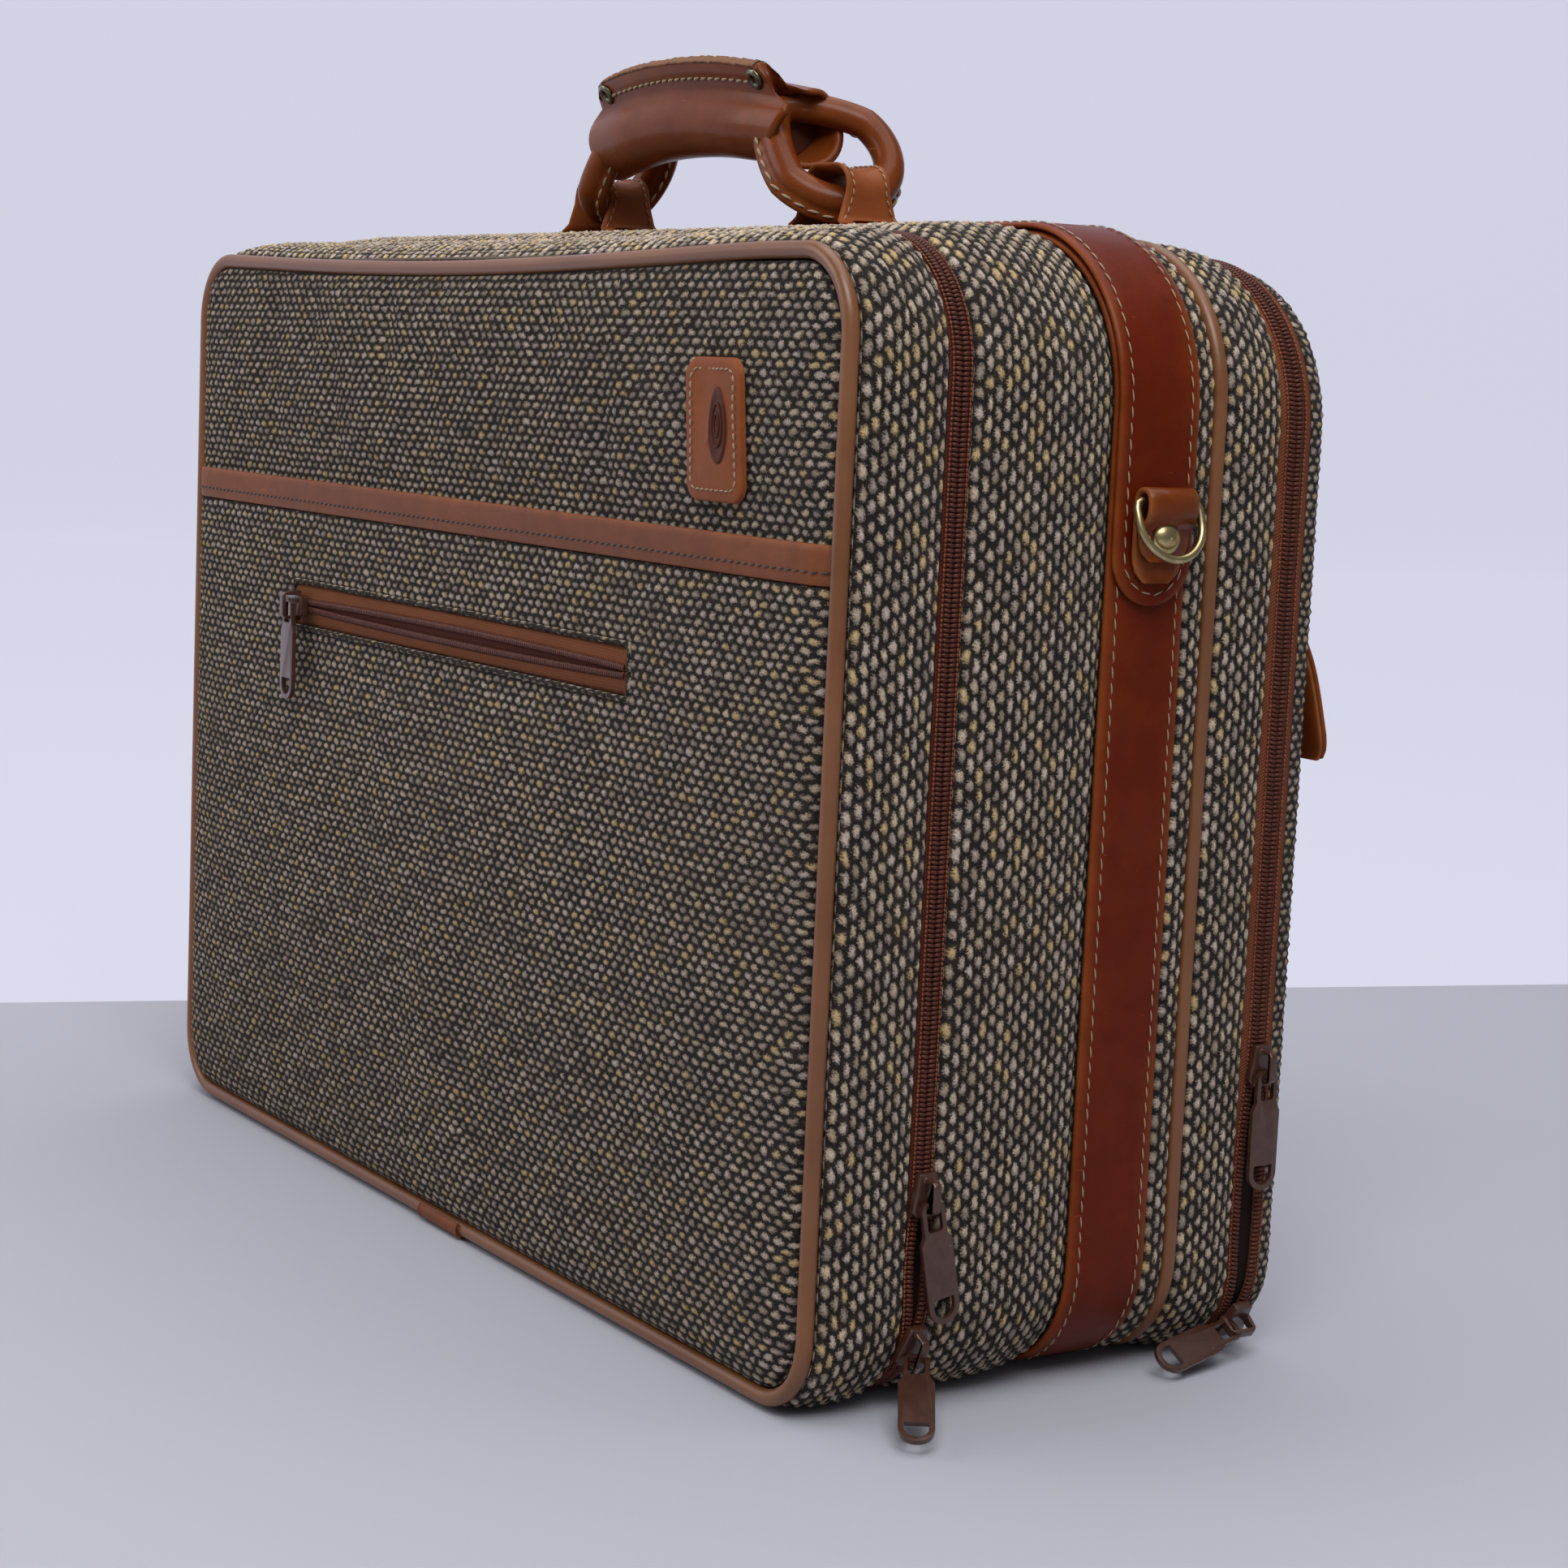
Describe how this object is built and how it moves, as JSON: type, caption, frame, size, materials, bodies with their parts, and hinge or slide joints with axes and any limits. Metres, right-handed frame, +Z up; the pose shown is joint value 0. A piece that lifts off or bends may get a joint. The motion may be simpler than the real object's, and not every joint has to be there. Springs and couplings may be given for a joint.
{
  "type": "softside upright suitcase",
  "caption": "Softside upright suitcase in tweed cloth with leather strap, swinging leather handle, zipped front and rear lids, pocket and carrying rings.",
  "frame": {"origin": "centre of the leather strap's flat base, on the floor the suitcase stands on", "axes": "+Z up, -Y out of the front lid, +X to the right seen from the front, along the width"},
  "size_m": [0.6108, 0.2371, 0.4763],
  "materials": {
    "tweed": "coarse two-tone basketweave wool tweed",
    "piping_vinyl": "semi-gloss tan vinyl",
    "leather": "glossy saddle leather, waxed",
    "pale_leather": "smooth light tan leather",
    "dark_leather": "dark stamped leather",
    "zip_coil": "maroon-brown nylon coil on woven tape",
    "zip_tape": "orange-brown woven tape",
    "zip_metal": "semi-gloss brown paint on metal",
    "brass": "antique brass",
    "lining": "plain woven lining",
    "board": "stiffening board"
  },
  "bodies": {
    "case": {"body_gusset": "tweed", "body_frame": "board", "body_lining": "lining", "rear_gusset": "tweed", "rear_lining": "lining", "divider_board": "board", "rear_piping": "piping_vinyl", "strap": "leather", "strap_overlay": "leather", "front_chain_body": "zip_coil", "rear_chain_body": "zip_coil", "front_hinge_strip": "tweed", "rear_hinge_strip": "tweed", "dring_tab_r": "leather", "dring_tab_l": "leather", "dring_stud_r": "brass", "dring_stud_l": "brass", "chape_r": "leather", "chape_l": "leather"},
    "front_lid": {"front_panel": "tweed", "front_board": "board", "front_gusset": "tweed", "front_lining": "lining", "front_piping": "piping_vinyl", "piping_joint": "leather", "slip_pocket": "tweed", "pocket_trim": "leather", "pocket_zip_tape": "zip_tape", "pocket_chain_upper": "zip_coil", "pocket_chain_lower": "zip_coil", "emblem_patch": "pale_leather", "emblem_oval": "dark_leather", "front_chain_lid": "zip_coil"},
    "rear_lid": {"rear_panel": "tweed", "rear_board": "board", "rear_chain_lid": "zip_coil", "rear_strap_r": "leather", "rear_strap_l": "leather"},
    "handle": {"handle_ring_r": "leather", "handle_ring_l": "leather", "grip_wrap": "leather", "grip_core": "board", "grip_flange": "leather", "grip_eyelet_r": "brass", "grip_eyelet_l": "brass"},
    "dring_right": {"dring_r": "brass"},
    "dring_left": {"dring_l": "brass"},
    "rear_tab_right": {"rear_tab_r": "leather"},
    "rear_tab_left": {"rear_tab_l": "leather"},
    "front_upper_slide": {"front_upper_slider": "zip_metal"},
    "front_upper_tag": {"front_upper_pull": "zip_metal"},
    "front_lower_slide": {"front_lower_slider": "zip_metal"},
    "front_lower_tag": {"front_lower_pull": "zip_metal"},
    "rear_upper_slide": {"rear_upper_slider": "zip_metal"},
    "rear_upper_tag": {"rear_upper_pull": "zip_metal"},
    "rear_lower_slide": {"rear_lower_slider": "zip_metal"},
    "rear_lower_tag": {"rear_lower_pull": "zip_metal"},
    "pocket_slide": {"pocket_slider": "zip_metal"},
    "pocket_tag": {"pocket_pull": "zip_metal"}
  },
  "joints": [
    {"name": "front_lid_hinge", "type": "hinge", "parent": "case", "child": "front_lid", "pos_m": [0, -0.08, 0.0021], "axis": [1, 0, 0], "range_deg": [0, 95]},
    {"name": "rear_lid_hinge", "type": "hinge", "parent": "case", "child": "rear_lid", "pos_m": [0, 0.068, 0.0021], "axis": [-1, 0, 0], "range_deg": [0, 95]},
    {"name": "handle_swing", "type": "hinge", "parent": "case", "child": "handle", "pos_m": [-0.015, 0, 0.4365], "axis": [1, 0, 0], "range_deg": [-80, 10]},
    {"name": "dring_right_swing", "type": "hinge", "parent": "case", "child": "dring_right", "pos_m": [0.2866, 0, 0.313], "axis": [0, -1, 0], "range_deg": [0, 110]},
    {"name": "dring_left_swing", "type": "hinge", "parent": "case", "child": "dring_left", "pos_m": [-0.2866, 0, 0.313], "axis": [0, 1, 0], "range_deg": [0, 110]},
    {"name": "rear_tab_right_lift", "type": "hinge", "parent": "rear_lid", "child": "rear_tab_right", "pos_m": [0.236, 0.0867, 0.263], "axis": [1, 0, 0], "range_deg": [0, 120]},
    {"name": "rear_tab_left_lift", "type": "hinge", "parent": "rear_lid", "child": "rear_tab_left", "pos_m": [-0.236, 0.0867, 0.263], "axis": [1, 0, 0], "range_deg": [0, 120]},
    {"name": "front_upper_zip", "type": "slide", "parent": "case", "child": "front_upper_slide", "axis": [0, 0, 1], "range_m": [0, 0.25]},
    {"name": "front_upper_pull_swing", "type": "hinge", "parent": "front_upper_slide", "child": "front_upper_tag", "pos_m": [0.2823, -0.08, 0.0756], "axis": [0, -0.9817, -0.1903], "range_deg": [0, 150]},
    {"name": "front_lower_zip", "type": "slide", "parent": "case", "child": "front_lower_slide", "axis": [0.3746, 0, 0.9272], "range_m": [-0.008, 0]},
    {"name": "front_lower_pull_swing", "type": "hinge", "parent": "front_lower_slide", "child": "front_lower_tag", "pos_m": [0.27799, -0.08, 0.02104], "axis": [-0.3677, -0.93, 0], "range_deg": [0, 20]},
    {"name": "rear_upper_zip", "type": "slide", "parent": "case", "child": "rear_upper_slide", "axis": [0, 0, 1], "range_m": [0, 0.2]},
    {"name": "rear_upper_pull_swing", "type": "hinge", "parent": "rear_upper_slide", "child": "rear_upper_tag", "pos_m": [0.2788, 0.068, 0.1076], "axis": [0, -1, 0], "range_deg": [0, 150]},
    {"name": "rear_lower_zip", "type": "slide", "parent": "case", "child": "rear_lower_slide", "axis": [0.5592, 0, 0.829], "range_m": [-0.004, 0]},
    {"name": "rear_lower_pull_swing", "type": "hinge", "parent": "rear_lower_slide", "child": "rear_lower_tag", "pos_m": [0.27257, 0.0656, 0.01148], "axis": [-0.8153, -0.2295, -0.5317], "range_deg": [0, 12]},
    {"name": "pocket_zip", "type": "slide", "parent": "front_lid", "child": "pocket_slide", "axis": [1, 0, 0], "range_m": [0, 0.268]},
    {"name": "pocket_pull_swing", "type": "hinge", "parent": "pocket_slide", "child": "pocket_tag", "pos_m": [-0.138, -0.1356, 0.2444], "axis": [-1, 0, 0], "range_deg": [0, 150]}
  ]
}
